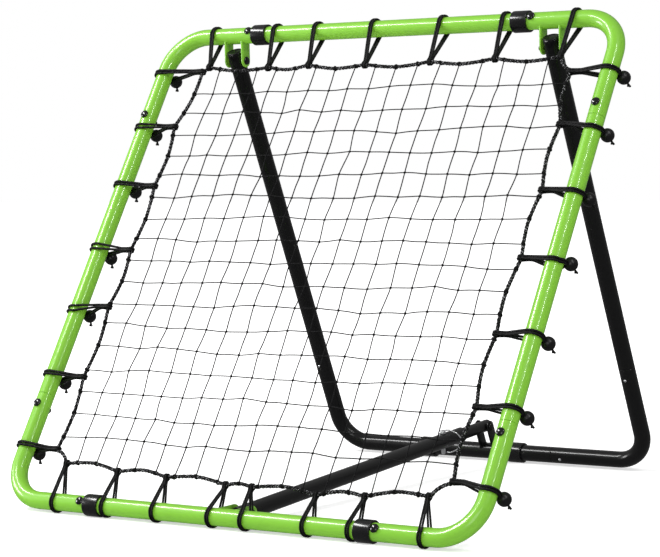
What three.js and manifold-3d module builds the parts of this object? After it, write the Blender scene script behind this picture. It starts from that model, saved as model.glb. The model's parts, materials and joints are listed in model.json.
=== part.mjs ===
// Pitch back rebounder: a leaning square tube frame with a sprung net, and a folding rear stand with a strut.
// Millimetres, +Z up, +Y to the rear. The origin is on the floor, in the middle of the footprint.
import * as THREE from 'three';
import { mergeVertices } from 'three/addons/utils/BufferGeometryUtils.js';
import Module from 'manifold-3d';

const wasm = await Module();
wasm.setup();

// Driving dimensions
const degree = Math.PI / 180;
const frameSpan = 1202;           // between the axes of opposite frame tubes
const frameLean = 32.75 * degree; // from vertical, towards the rear
const tubeRadius = 19;
const tubeWall = 1.5;
const frameBend = 90;
const cornerArm = 250;            // from a corner's point to its seam
const neckLength = 45;
const seamGap = 0.3;
const fitGap = 0.35;              // round a tube that sits inside another
const sideBoltSetback = 27;       // from a side's seam to its bolt
const railBoltGap = 0.5;          // from a rail's ring to the head of its bolt
const ringThickness = 5;
const ringWidth = 40;
const legInset = 175;             // from a side tube's axis in to the leg's
const standLean = 22.94 * degree; // from vertical, towards the front
const standBend = 75;
const standArm = 250;
const pivotDrop = 58.5;           // from the top rail's axis down to the stand's pivot
const legOverrun = 22;            // leg beyond the pivot
const buttonSetback = 26;
const buttonRadius = 3.5;
const buttonReach = 3;            // button beyond the tube
const rearRingInset = 3;          // from the rear rail's left seam in to the middle of the ring over it
const rearRingRight = 75;         // from the rear rail's middle to its other ring
const earThickness = 4;
const clevisSlack = 6;            // across a leg, between its ears
const clevisWidth = 30;
const strutEarSlack = 6;
const strutFrontReach = 60;       // from the bottom rail's axis back to the strut's front bolt
const strutRearRise = 68;         // from the rear rail's axis up to the strut's rear bolt
const rearEarSlack = 1;
const strutOuterRadius = 17.5;
const strutWall = 1.5;
const strutSlide = 2;             // gap all round between the two strut tubes
const strutMouthSetback = 105;    // from the rear bolt to the mouth of the outer tube
const strutOverlap = 285;
const strutEndLength = 17;        // tube beyond a strut bolt
const pinSetback = 82;            // from the mouth to the lock pin
const pinRadius = 5;
const pinTip = 31;                // below the strut's axis
const pinHeadRadius = 8;
const pinHeadHeight = 7;
const pinSlotHalf = 79;
const bailWire = 1.6;
const bailReach = 45;
const bailSwing = 45 * degree;    // from +X towards the rear
const boltShank = 4;
const boltHead = 9.5;
const boltHoleGap = 0.4;
const capLip = 3;
const capDepth = 20;
const cordRadius = 1.8;
const ropeRadius = 4.5;
const ballRadius = 15;
const sideRopeSetback = 88;       // from a side tube's axis to the rope
const topRopeSetback = 95;
const bottomRopeSetback = 80;
const scallop = 10;               // how far the rope dips inwards between two cords
const netThickness = 1.2;
const netGap = 4;
// ball cords, as shares of a side's length from the bottom rail, or of a rail's from its middle
const leftCords = [0.912, 0.787, 0.658, 0.518, 0.384, 0.249, 0.102];
const rightCords = [0.886, 0.766, 0.639, 0.507, 0.369, 0.232, 0.087];
const topCords = [-0.402, -0.254, -0.157, -0.027, 0.125, 0.26, 0.404];
const bottomCords = [-0.381, -0.151, 0.173, 0.405];
const ringCordGap = 13;           // from the bottom rings to the cords just inside them
const earCordSkew = 12;           // by which the right cord beside the strut's ears is further off
const tubeSides = 12;

// Places worked out from them
const half = frameSpan / 2;
const ringRadius = tubeRadius + ringThickness; // to the flats, so it is also the height of the rail axes
const clevisGap = 2 * tubeRadius + clevisSlack;
const strutInnerRadius = strutOuterRadius - strutWall - strutSlide;
const strutEarRadius = strutOuterRadius + 0.5;
const strutEarGap = 2 * strutOuterRadius + strutEarSlack;
const rearEarGap = 2 * strutInnerRadius + rearEarSlack;
const earSide = strutEarGap / 2 + earThickness + ballRadius + 1; // nearest that a ball comes to the ears
const boreRadius = tubeRadius - tubeWall;
const neckRadius = boreRadius - fitGap;
const neckBore = neckRadius - tubeWall;
const legX = half - legInset;
const topRail = { y: frameSpan * Math.sin(frameLean), z: frameSpan * Math.cos(frameLean) };
const pivot = { y: topRail.y, z: topRail.z - pivotDrop };
const legLength = pivot.z / Math.cos(standLean);
const rearRailY = pivot.y + pivot.z * Math.tan(standLean);
const strutFront = { y: strutFrontReach, z: 0 };
const strutRear = {
  y: rearRailY - strutRearRise * Math.sin(standLean),
  z: strutRearRise * Math.cos(standLean),
};
const strutRise = Math.atan2(strutRear.z - strutFront.z, strutRear.y - strutFront.y);
const strutLength = Math.hypot(strutRear.y - strutFront.y, strutRear.z - strutFront.z);
const mouth = strutLength - strutMouthSetback;
const pinPlace = mouth - pinSetback;

const paint = (color, roughness, metalness) => new THREE.MeshStandardMaterial({ color, roughness, metalness });
const greenPaint = paint(0x86c83c, 0.3, 0.1);
const blackPaint = paint(0x1a1a1b, 0.32, 0.1);
const blackPlastic = paint(0x19191a, 0.5, 0);
const blackCord = paint(0x1d1d1f, 0.8, 0);
const netCord = paint(0x2a2a2c, 0.85, 0);
const zincSteel = paint(0xb9bcc0, 0.35, 0.9);

const group = new THREE.Group();
group.position.set(0, -rearRailY / 2, ringRadius);
const inclined = (angle, y, z) => {
  const child = new THREE.Group();
  child.rotation.x = angle;
  child.position.set(0, y, z);
  group.add(child);
  return child;
};
const frameTurn = Math.PI / 2 - frameLean;
const frame = inclined(frameTurn, 0, 0);                       // X across, Y up the net, Z to its front
const stand = inclined(Math.PI / 2 + standLean, rearRailY, 0); // Y up the legs, Z to the front
const strut = inclined(strutRise, strutFront.y, strutFront.z); // Y along the strut, Z up

// Solids
const solid = (geometry) => {
  const bare = geometry.clone();
  bare.deleteAttribute('normal');
  bare.deleteAttribute('uv');
  const merged = mergeVertices(bare, 1e-4);
  const vertProperties = merged.attributes.position.array;
  return new wasm.Manifold(new wasm.Mesh({ numProp: 3, vertProperties, triVerts: merged.index.array }));
};
const geometryOf = (body) => {
  const mesh = body.getMesh();
  const geometry = new THREE.BufferGeometry();
  geometry.setAttribute('position', new THREE.Float32BufferAttribute(mesh.vertProperties, 3));
  geometry.setIndex(Array.from(mesh.triVerts));
  geometry.computeVertexNormals();
  return geometry;
};
const joined = (bodies) => bodies.reduce((all, body) => all.add(body));
const cut = (body, tools) => tools.reduce((rest, tool) => rest.subtract(tool), body);

const place = (parent, name, geometry, material, x = 0, y = 0, z = 0, turn = 0) => {
  const mesh = new THREE.Mesh(geometry, material);
  mesh.name = name;
  mesh.position.set(x, y, z);
  mesh.rotation.z = turn;
  parent.add(mesh);
};

const polygon = (radius, sides) => {
  const points = [];
  for (let i = 0; i < sides; i++) {
    const angle = (i + 0.5) * 2 * Math.PI / sides;
    points.push(new THREE.Vector2(radius * Math.cos(angle), radius * Math.sin(angle)));
  }
  return new THREE.Shape(points);
};

const turnTo = {
  x: (geometry) => geometry.rotateY(Math.PI / 2),
  y: (geometry) => geometry.rotateX(-Math.PI / 2),
  z: (geometry) => geometry,
};

// A prism along an axis, with flats that face the other two axes
const rod = (radius, start, end, axis = 'z', sides = tubeSides) => {
  const depth = end - start;
  const geometry = new THREE.ExtrudeGeometry(polygon(radius, sides), { depth, bevelEnabled: false });
  geometry.translate(0, 0, start);
  return turnTo[axis](geometry);
};

// Two straight arms and a bend from +X round to +Y, with the corner's point at the origin
class Elbow extends THREE.Curve {
  constructor(arm, bend, bendSteps) {
    super();
    this.arm = arm;
    this.bend = bend;
    this.bendSteps = bendSteps;
    this.steps = bendSteps + 2;
  }
  getPointAt(u, target = new THREE.Vector3()) {
    const station = u * this.steps;
    const straight = this.arm - this.bend;
    if (station <= 1) return target.set(this.arm - station * straight, 0, 0);
    const left = this.steps - station;
    if (left <= 1) return target.set(0, this.arm - left * straight, 0);
    const angle = (station - 1) / this.bendSteps * Math.PI / 2;
    return target.set(this.bend * (1 - Math.sin(angle)), this.bend * (1 - Math.cos(angle)), 0);
  }
  getTangentAt(u, target = new THREE.Vector3()) {
    const turn = THREE.MathUtils.clamp((u * this.steps - 1) / this.bendSteps, 0, 1) * Math.PI / 2;
    return target.set(-Math.cos(turn), Math.sin(turn), 0);
  }
}

// A run through given points that has a section at every one of them
class Stations extends THREE.Curve {
  constructor(points) {
    super();
    this.points = points;
    this.steps = points.length - 1;
  }
  getPointAt(u, target = new THREE.Vector3()) {
    const i = Math.min(Math.floor(u * this.steps + 1e-6), this.steps - 1);
    return target.copy(this.points[i]).lerp(this.points[i + 1], u * this.steps - i);
  }
  getTangentAt(u, target = new THREE.Vector3()) {
    const i = Math.round(u * this.steps);
    const before = this.points[Math.max(i - 1, 0)];
    const after = this.points[Math.min(i + 1, this.steps)];
    return target.copy(after).sub(before).normalize();
  }
}

const sweep = (section, path) =>
  new THREE.ExtrudeGeometry(section, { steps: path.steps, bevelEnabled: false, extrudePath: path });

const elbowSolids = (arm, bend) => {
  const bendSteps = 6;
  const outside = solid(sweep(polygon(tubeRadius, tubeSides), new Elbow(arm, bend, bendSteps)));
  const inside = solid(sweep(polygon(boreRadius, tubeSides), new Elbow(arm + 1, bend, bendSteps)));
  return { outside, inside };
};

// A straight tube from 0 to length along Z, with a swaged neck at each end that is asked for
const straightTube = (length, necks, holes = []) => {
  const parts = [solid(rod(tubeRadius, seamGap, length - (necks > 1 ? seamGap : 0)))];
  const far = length + (necks > 1 ? neckLength : 0);
  parts.push(solid(rod(neckRadius, -neckLength, necks > 1 ? far : length / 2)));
  const body = cut(joined(parts), [solid(rod(neckBore, -neckLength - 1, far + 1))]);
  return cut(body, holes);
};

// A flat plate with a round end and a hole there, in the Y-Z plane, from the origin to a point
const ear = (reach, angle, radius, centreX) => {
  const shape = new THREE.Shape();
  shape.moveTo(0, -radius);
  shape.absarc(reach, 0, radius, -Math.PI / 2, Math.PI / 2, false);
  shape.lineTo(0, radius);
  const extrusion = { depth: earThickness, bevelEnabled: false, curveSegments: 8 };
  const plate = new THREE.ExtrudeGeometry(shape, extrusion);
  plate.translate(0, 0, -earThickness / 2);
  const body = solid(plate.rotateY(Math.PI / 2).rotateX(Math.PI / 2));
  const hole = solid(rod(boltShank + boltHoleGap, -earThickness, earThickness, 'x', 8).translate(0, reach, 0));
  const turned = body.subtract(hole).rotate([angle / degree, 0, 0]);
  return turned.translate([centreX, 0, 0]);
};
const earPair = (reach, angle, radius, gap, middle = 0) => {
  const offset = (gap + earThickness) / 2;
  return [ear(reach, angle, radius, middle - offset), ear(reach, angle, radius, middle + offset)];
};

const lathe = (profile, sides) =>
  new THREE.LatheGeometry(profile.map(([radius, y]) => new THREE.Vector2(radius, y)), sides);

// Bolt along an axis: a domed cap on the positive side and a nut on the other
const bolt = (grip, axis) => {
  const nut = 7;
  const face = grip / 2 + seamGap;
  const profile = [
    [0, -face - nut], [7, -face - nut], [7, -face], [boltShank, -face], [boltShank, face],
    [boltHead, face], [boltHead, face + 1.5], [boltHead * 0.7, face + 4.5], [0, face + 5.5],
  ];
  const geometry = lathe(profile, 8);
  if (axis === 'x') geometry.rotateZ(-Math.PI / 2);
  if (axis === 'z') geometry.rotateX(Math.PI / 2);
  return geometry;
};

const ring = (turn) => {
  const sides = 12;
  const outer = solid(rod(ringRadius / Math.cos(Math.PI / sides), -ringWidth / 2, ringWidth / 2, 'x', sides));
  const inner = solid(rod(tubeRadius + fitGap, -ringWidth, ringWidth, 'x', tubeSides));
  const flatDown = outer.rotate([-turn / degree, 0, 0]);
  return geometryOf(flatDown.subtract(inner));
};

// Frame
const boltHole = () => solid(rod(boltShank + boltHoleGap, -tubeRadius - 2, tubeRadius + 2, 'z', 8));
const sideBolt = cornerArm - sideBoltSetback;
const railBoltSetback = ringWidth / 2 + railBoltGap + boltHead;
const railBolt = cornerArm - railBoltSetback;
const corner = (name, x, y, quarterTurns, ears) => {
  const { outside, inside } = elbowSolids(cornerArm, frameBend);
  const [first, second] = quarterTurns % 2 ? [sideBolt, railBolt] : [railBolt, sideBolt];
  const tools = [inside, boltHole().translate([first, 0, 0]), boltHole().translate([0, second, 0])];
  const turn = quarterTurns * Math.PI / 2;
  const added = ears.map((body) => body.translate([-x, -y, 0]).rotate([0, 0, -turn / degree]));
  place(frame, name, geometryOf(cut(joined([outside, ...added]), tools)), greenPaint, x, y, 0, turn);
};
// the ears hang straight down from the top rail
const hangAngle = -Math.PI / 2 - frameTurn;
const legEars = (middle) => {
  const ears = earPair(pivotDrop, hangAngle, clevisWidth / 2, clevisGap, middle);
  return ears.map((body) => body.translate([0, frameSpan, 0]));
};
corner('corner_tube_bottom_left', -half, 0, 0, []);
corner('corner_tube_bottom_right', half, 0, 1, []);
corner('corner_tube_top_right', half, frameSpan, 2, legEars(legX));
corner('corner_tube_top_left', -half, frameSpan, 3, legEars(-legX));

const openSpan = frameSpan - 2 * cornerArm;
const neckHoles = (setback) =>
  [-setback, openSpan + setback].map((along) => boltHole().rotate([0, 90, 0]).translate([0, 0, along]));
const railTube = (name, y, ears) => {
  const upright = straightTube(openSpan, 2, neckHoles(railBoltSetback));
  const tube = upright.rotate([0, 90, 0]).translate([-openSpan / 2, 0, 0]);
  const bore = solid(rod(neckBore, -openSpan / 2, openSpan / 2, 'x'));
  const body = ears.length ? cut(joined([tube, ...ears]), [bore]) : tube;
  place(frame, name, geometryOf(body), greenPaint, 0, y);
};
const sideTube = (name, x) => {
  const tube = straightTube(openSpan, 2, neckHoles(sideBoltSetback).map((hole) => hole.rotate([0, 0, 90])));
  place(frame, name, geometryOf(tube.rotate([-90, 0, 0])), greenPaint, x, cornerArm);
};
sideTube('side_tube_left', -half);
sideTube('side_tube_right', half);
railTube('top_rail_tube', frameSpan, []);
railTube('bottom_rail_tube', 0, earPair(strutFrontReach, -frameTurn, strutEarRadius, strutEarGap));

const boltPlaces = [];
for (const side of [-1, 1]) {
  for (const along of [sideBolt, frameSpan - sideBolt]) boltPlaces.push([side * half, along]);
  for (const across of [0, frameSpan]) boltPlaces.push([side * (half - railBolt), across]);
}
boltPlaces.forEach(([x, y], i) => {
  place(frame, `frame_bolt_${i + 1}`, bolt(2 * tubeRadius, 'z'), blackPlastic, x, y);
});

for (const [side, word] of [[-1, 'left'], [1, 'right']]) {
  const x = side * (half - cornerArm);
  place(frame, `bottom_ring_${word}`, ring(frameTurn), blackPlastic, x, 0);
  place(frame, `top_ring_${word}`, ring(frameTurn), blackPlastic, x, frameSpan);
}

// Net, its rope and the ball cords
const ropeX = half - sideRopeSetback;
const ropeTop = frameSpan - topRopeSetback;
const ropeBottom = bottomRopeSetback;
const netX = ropeX - scallop - ropeRadius - netGap;
const netTop = ropeTop - scallop - ropeRadius - netGap;
const netBottom = ropeBottom + scallop + ropeRadius + netGap;
const netBox = new THREE.BoxGeometry(2 * netX, netTop - netBottom, netThickness);
place(frame, 'net_panel', netBox, netCord, 0, (netTop + netBottom) / 2);

// A cord loop round a tube along Z at the origin: X points away from the net, Y to the front
const cordLoop = (reach, ballAngle) => {
  const arcSteps = 10;
  const section = polygon(cordRadius, 4);
  let path = tubeRadius + 2 * fitGap + cordRadius;
  const start = Math.PI - Math.acos(path / reach);
  path /= Math.cos(start / arcSteps);
  const points = [new THREE.Vector3(-reach, 0, 0)];
  for (let i = 0; i <= arcSteps; i++) {
    const angle = start - 2 * start * i / arcSteps;
    points.push(new THREE.Vector3(path * Math.cos(angle), path * Math.sin(angle), 0));
  }
  points.push(new THREE.Vector3(-reach, 0, 0));
  const ball = new THREE.SphereGeometry(ballRadius, 6, 4);
  const away = tubeRadius + ballRadius + 2;
  ball.translate(away * Math.cos(ballAngle), away * Math.sin(ballAngle), 0);
  const halves = [points.slice(0, 8), points.slice(7)].map((run) => solid(sweep(section, new Stations(run))));
  return joined([...halves, solid(ball)]);
};

const ropeRun = (cords, alongStart, alongEnd, inward) => {
  const stops = [...cords].sort((a, b) => a - b);
  const points = [[alongStart, inward(scallop)]];
  stops.forEach((stop, i) => {
    if (i) points.push([(stops[i - 1] + stop) / 2, inward(scallop)]);
    points.push([stop, inward(0)]);
  });
  points.push([alongEnd, inward(scallop)]);
  return points;
};
const edge = (name, points, loops) => {
  const path = new Stations(points.map(([x, y]) => new THREE.Vector3(x, y, 0)));
  const rope = solid(sweep(polygon(ropeRadius, 6), path));
  place(frame, name, geometryOf(joined([rope, ...loops])), blackCord);
};
const ropeEnd = 16;
const sideEdge = (name, side, cords) => {
  const points = ropeRun(cords, netBottom - ropeEnd, netTop + ropeEnd, (dip) => side * (ropeX - dip));
  const loops = cords.map((along) => {
    const loop = cordLoop(sideRopeSetback, -Math.PI / 2).rotate([90, 0, 0]);
    return (side < 0 ? loop.mirror([1, 0, 0]) : loop).translate([side * half, along, 0]);
  });
  edge(name, points.map(([along, x]) => [x, along]), loops);
};
const spread = (shares) => shares.map((share) => share * frameSpan);
sideEdge('net_edge_left', -1, spread(leftCords));
sideEdge('net_edge_right', 1, spread(rightCords));

const railEdge = (name, upward, cords, setback) => {
  const tubeY = upward > 0 ? frameSpan : 0;
  const points = ropeRun(cords, -netX, netX, (dip) => tubeY - upward * (setback + dip));
  const ballAngle = -Math.PI / 2 + upward * frameLean;
  const loops = cords.map((across) => {
    const basis = new THREE.Matrix4().makeBasis(
      new THREE.Vector3(0, upward, 0), new THREE.Vector3(0, 0, 1), new THREE.Vector3(upward, 0, 0));
    basis.setPosition(across, tubeY, 0);
    return cordLoop(setback, ballAngle).transform(basis.elements);
  });
  edge(name, points, loops);
};
railEdge('net_edge_top', 1, spread(topCords), topRopeSetback);
const besideRing = half - cornerArm - ringWidth / 2 - ringCordGap;
const besideEar = [-earSide, earSide + earCordSkew];
const lowCords = [...spread(bottomCords), -besideRing, besideRing, ...besideEar];
railEdge('net_edge_bottom', -1, lowCords, bottomRopeSetback);

// Rear stand
const buttonHole = () => solid(rod(buttonRadius + fitGap, 0, tubeRadius + 2, 'z', 8));
const standButton = standArm - buttonSetback;
const standCorner = (name, side) => {
  const { outside, inside } = elbowSolids(standArm, standBend);
  const holes = [[standButton, 0, 0], [0, standButton, 0]].map((at) => buttonHole().translate(at));
  const turn = side > 0 ? Math.PI / 2 : 0;
  place(stand, name, geometryOf(cut(outside, [inside, ...holes])), blackPaint, side * legX, 0, 0, turn);
};
standCorner('stand_corner_left', -1);
standCorner('stand_corner_right', 1);

const legBoltHole = () => solid(rod(boltShank + boltHoleGap, -tubeRadius - 2, tubeRadius + 2, 'x', 8));
const legTop = legLength + legOverrun;
const leg = (name, side) => {
  const forButton = buttonHole().rotate([90, 0, 0]).translate([0, 0, -buttonSetback]);
  const forBolt = legBoltHole().translate([0, 0, legLength - standArm]);
  const tube = straightTube(legTop - standArm, 1, [forButton, forBolt]);
  place(stand, name, geometryOf(tube.rotate([-90, 0, 0])), blackPaint, side * legX, standArm);
};
leg('leg_tube_left', -1);
leg('leg_tube_right', 1);

const rearSpan = 2 * (legX - standArm);
const rearButton = rearSpan / 2 + buttonSetback;
const rearHoles = [-rearButton, rearButton].map((x) => buttonHole().translate([x, 0, 0]));
const rearTube = straightTube(rearSpan, 2).rotate([0, 90, 0]).translate([-rearSpan / 2, 0, 0]);
const rearEars = earPair(strutRearRise, 0, strutInnerRadius, rearEarGap);
const rearBore = solid(rod(neckBore, -rearSpan / 2, rearSpan / 2, 'x'));
const rearRail = cut(joined([rearTube, ...rearEars]), [rearBore, ...rearHoles]);
place(stand, 'rear_rail_tube', geometryOf(rearRail), blackPaint);

const legCap = () => {
  const plug = neckRadius - tubeWall;
  const foot = capLip - capDepth;
  const top = capLip + seamGap;
  const profile = [[0, foot], [plug, foot], [plug, seamGap], [tubeRadius, seamGap], [tubeRadius - 1, top], [0, top]];
  return lathe(profile, tubeSides).rotateY(Math.PI / tubeSides);
};
const snapButton = () => {
  const inner = neckBore - seamGap - 2.5;
  const top = tubeRadius + buttonReach;
  return lathe([
    [0, inner - 8], [buttonRadius, inner - 8], [buttonRadius, inner - 2], [5, inner - 2], [5, inner],
    [buttonRadius, inner], [buttonRadius, top - 1.5], [0, top],
  ], 8).rotateX(Math.PI / 2);
};
for (const [side, word] of [[-1, 'left'], [1, 'right']]) {
  place(stand, `leg_cap_${word}`, legCap(), blackPlastic, side * legX, legTop);
  place(stand, `leg_button_${word}`, snapButton(), zincSteel, side * legX, standButton);
  place(stand, `rail_button_${word}`, snapButton(), zincSteel, side * (legX - standButton), 0);
}
const rearRing = (name, x) => place(stand, name, ring(Math.PI / 2 + standLean), blackPlastic, x);
rearRing('rear_ring_left', rearRingInset - rearSpan / 2);
rearRing('rear_ring_right', rearRingRight);

// Pivots of the stand and the strut
const pivotBolt = (name, gap, x, at) =>
  place(group, name, bolt(gap + 2 * earThickness, 'x'), blackPlastic, x, at.y, at.z);
pivotBolt('stand_bolt_left', clevisGap, -legX, pivot);
pivotBolt('stand_bolt_right', clevisGap, legX, pivot);
pivotBolt('strut_front_bolt', strutEarGap, 0, strutFront);
pivotBolt('strut_rear_bolt', rearEarGap, 0, strutRear);

// Strut
const through = 2 * strutOuterRadius; // reach of the tools that cut across the strut
const crossHole = (y) => solid(rod(boltShank + boltHoleGap, -through, through, 'x', 8).translate(0, y, 0));
const strutTube = (radius, start, end) =>
  cut(solid(rod(radius, start, end, 'y')), [solid(rod(radius - strutWall, start - 1, end + 1, 'y'))]);
const pinHoleRadius = (pinRadius + fitGap) / Math.cos(Math.PI / tubeSides);
const pinHole = solid(rod(pinHoleRadius, -through, through, 'z').translate(0, pinPlace, 0));
const outerTube = cut(strutTube(strutOuterRadius, -strutEndLength, mouth), [crossHole(0), pinHole]);
place(strut, 'strut_outer_tube', geometryOf(outerTube), blackPaint);
const slotWidth = 2 * pinRadius + 3;
const slotBox = new THREE.BoxGeometry(slotWidth, 2 * pinSlotHalf, 3 * strutInnerRadius);
const pinSlot = solid(slotBox.translate(0, pinPlace, 0));
const innerEnd = strutLength + strutEndLength - 4;
const innerTube = strutTube(strutInnerRadius, mouth - strutOverlap, innerEnd);
place(strut, 'strut_inner_tube', geometryOf(cut(innerTube, [crossHole(strutLength), pinSlot])), blackPaint);

const endPlug = (radius) => {
  const plug = radius - strutWall - 2 * fitGap;
  const profile = [[0, -8], [plug, -8], [plug, seamGap], [radius, seamGap], [radius - 1, 2.5], [0, 2.5]];
  return lathe(profile, tubeSides).rotateY(Math.PI / tubeSides);
};
place(strut, 'strut_front_plug', endPlug(strutOuterRadius).rotateX(Math.PI), blackPlastic, 0, -strutEndLength);
place(strut, 'strut_rear_plug', endPlug(strutInnerRadius), blackPlastic, 0, innerEnd);

const headFoot = strutOuterRadius + seamGap;
const headMiddle = headFoot + pinHeadHeight / 2;
const pin = lathe([[0, -pinTip], [pinRadius - 2, -pinTip], [pinRadius, -pinTip + 3], [pinRadius, headFoot],
  [pinHeadRadius, headFoot], [pinHeadRadius, headFoot + pinHeadHeight - 1],
  [pinHeadRadius - 1.5, headFoot + pinHeadHeight], [0, headFoot + pinHeadHeight]], 12).rotateX(Math.PI / 2);
const bailHoleHalf = pinHeadRadius + 1;
const bailHole = solid(rod(bailWire + 0.6, -bailHoleHalf, bailHoleHalf, 'y', 8).translate(0, 0, headMiddle));
place(strut, 'lock_pin', geometryOf(solid(pin).subtract(bailHole)), zincSteel, 0, pinPlace, 0, bailSwing);

const bailPoints = [
  [0, -10, headMiddle], [0, 10, headMiddle], [6, 13, headMiddle + 1], [20, 9, headMiddle + 1],
  [bailReach - 9, 3, headMiddle - 8], [bailReach, 0, headMiddle - 24], [bailReach - 6, 0, headMiddle - 40],
  [20, 0, -pinTip + 3], [pinRadius + bailWire + 1, 0, -pinTip + 4],
].map(([x, y, z]) => new THREE.Vector3(x, y, z));
const bail = sweep(polygon(bailWire, 6), new Stations(bailPoints));
place(strut, 'wire_bail', bail, zincSteel, 0, pinPlace, 0, bailSwing);

export default group;
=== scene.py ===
import bpy
import bmesh
import json
import math
import random
from mathutils import Matrix, Vector


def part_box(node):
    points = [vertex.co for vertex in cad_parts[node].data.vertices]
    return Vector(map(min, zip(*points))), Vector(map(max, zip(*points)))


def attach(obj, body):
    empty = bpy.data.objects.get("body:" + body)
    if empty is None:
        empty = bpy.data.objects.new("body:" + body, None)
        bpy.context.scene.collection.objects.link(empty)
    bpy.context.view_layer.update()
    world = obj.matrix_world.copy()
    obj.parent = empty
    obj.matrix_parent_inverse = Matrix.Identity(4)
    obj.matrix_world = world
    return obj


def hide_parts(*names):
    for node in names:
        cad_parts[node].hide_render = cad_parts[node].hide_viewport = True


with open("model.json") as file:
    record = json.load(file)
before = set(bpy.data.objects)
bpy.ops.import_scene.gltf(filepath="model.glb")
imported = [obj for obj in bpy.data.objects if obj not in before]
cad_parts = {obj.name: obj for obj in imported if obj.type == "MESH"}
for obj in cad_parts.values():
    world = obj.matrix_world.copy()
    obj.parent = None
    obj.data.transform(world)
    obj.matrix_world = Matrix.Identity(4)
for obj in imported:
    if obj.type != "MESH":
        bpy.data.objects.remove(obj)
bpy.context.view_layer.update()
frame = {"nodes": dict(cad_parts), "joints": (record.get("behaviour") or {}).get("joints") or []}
print("frame loaded:", len(frame["nodes"]), "nodes")

mm = 0.001
across = Vector((1, 0, 0))


def middleOf(node):
    low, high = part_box(node)
    return (Vector(low) + Vector(high)) / 2


def jointPoint(name):
    for joint in frame["joints"]:
        if joint["name"] == name:
            return Vector(joint["pos_m"])


def basis(origin, xAxis, yAxis):
    matrix = Matrix((xAxis, yAxis, xAxis.cross(yAxis))).transposed().to_4x4()
    matrix.translation = origin
    return matrix


def onAxis(point):  # the same place in the middle plane
    return Vector((0, point.y, point.z))


# where the rails, the pivots and the strut lie
bottomRail = onAxis(middleOf("bottom_ring_left"))
topRail = onAxis(middleOf("top_ring_left"))
rearRail = onAxis(middleOf("rear_ring_left"))
standPivot = jointPoint("stand_fold")
strutFront = jointPoint("strut_front_hinge")
strutRear = jointPoint("strut_rear_hinge")
span = (topRail - bottomRail).length
legLength = (onAxis(standPivot) - rearRail).length
strutLength = (strutRear - strutFront).length
netPlace = basis(bottomRail, across, (topRail - bottomRail).normalized())  # Y up the net, Z to its front
standPlace = basis(rearRail, across, (onAxis(standPivot) - rearRail).normalized())
strutPlace = basis(strutFront, across, (strutRear - strutFront).normalized())

tube = {
    "radius": 19 * mm, "wall": 1.5 * mm, "lip": 0.7 * mm, "neck": 17.15 * mm, "neckLength": 45 * mm,
    "seam": 0.3 * mm, "arm": 250 * mm, "frameBend": 90 * mm, "standBend": 75 * mm,
    "sides": 48, "bendSteps": 20,
    "legX": middleOf("leg_cap_right").x, "legEnd": legLength + 22 * mm,
}
half = span / 2


def newGroup(name, inputs, outputs):
    tree = bpy.data.node_groups.new(name, "ShaderNodeTree")
    for label, kind, value in inputs:
        socket = tree.interface.new_socket(name=label, in_out="INPUT", socket_type=kind)
        if value is not None:
            socket.default_value = value
    for label, kind in outputs:
        tree.interface.new_socket(name=label, in_out="OUTPUT", socket_type=kind)
    return tree, tree.nodes.new("NodeGroupInput"), tree.nodes.new("NodeGroupOutput")


def add(tree, kind, **values):
    node = tree.nodes.new("ShaderNode" + kind)
    for key, value in values.items():
        if hasattr(node, key):
            setattr(node, key, value)
        else:
            node.inputs[key.replace("_", " ")].default_value = value
    return node


def math2(tree, operation, first, second=None):
    node = add(tree, "Math", operation=operation)
    for place, value in enumerate((first, second)):
        if value is None:
            continue
        if isinstance(value, (int, float)):
            node.inputs[place].default_value = value
        else:
            tree.links.new(value, node.inputs[place])
    return node.outputs[0]


def mixColour(tree, factor, first, second):
    node = add(tree, "Mix", data_type="RGBA")
    for socket, value in ((node.inputs[0], factor), (node.inputs[6], first), (node.inputs[7], second)):
        if isinstance(value, (tuple, float, int)):
            socket.default_value = value
        else:
            tree.links.new(value, socket)
    return node.outputs[2]


def coatedGroup():
    # powder coat or moulded plastic
    tree, source, sink = newGroup("coatedSkin", [
        ("Vector", "NodeSocketVector", None), ("Tone", "NodeSocketColor", (0.2, 0.2, 0.2, 1)),
        ("Shade", "NodeSocketColor", (0.1, 0.1, 0.1, 1)), ("Dust", "NodeSocketColor", (0.5, 0.5, 0.45, 1)),
        ("Roughness", "NodeSocketFloat", 0.3), ("Peel", "NodeSocketFloat", 400.0),
        ("Depth", "NodeSocketFloat", 0.1)],
        [("Color", "NodeSocketColor"), ("Roughness", "NodeSocketFloat"), ("Normal", "NodeSocketVector")])
    broad = add(tree, "TexNoise", Scale=7.0, Detail=4.0)
    fine = add(tree, "TexNoise", Detail=3.0)
    scuff = add(tree, "TexNoise", Scale=55.0, Detail=8.0, Roughness=0.7)
    for node in (broad, fine, scuff):
        tree.links.new(source.outputs["Vector"], node.inputs["Vector"])
    tree.links.new(source.outputs["Peel"], fine.inputs["Scale"])
    shaded = mixColour(tree, broad.outputs["Fac"], source.outputs["Tone"], source.outputs["Shade"])
    specks = math2(tree, "GREATER_THAN", scuff.outputs["Fac"], 0.68)
    dusty = mixColour(tree, math2(tree, "MULTIPLY", specks, 0.12), shaded, source.outputs["Dust"])
    wander = math2(tree, "MULTIPLY", math2(tree, "SUBTRACT", scuff.outputs["Fac"], 0.5), 0.18)
    rough = math2(tree, "ADD", source.outputs["Roughness"], wander)
    bump = add(tree, "Bump", Distance=0.0003)
    tree.links.new(source.outputs["Depth"], bump.inputs["Strength"])
    tree.links.new(fine.outputs["Fac"], bump.inputs["Height"])
    tree.links.new(dusty, sink.inputs["Color"])
    tree.links.new(rough, sink.inputs["Roughness"])
    tree.links.new(bump.outputs["Normal"], sink.inputs["Normal"])
    return tree


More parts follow.
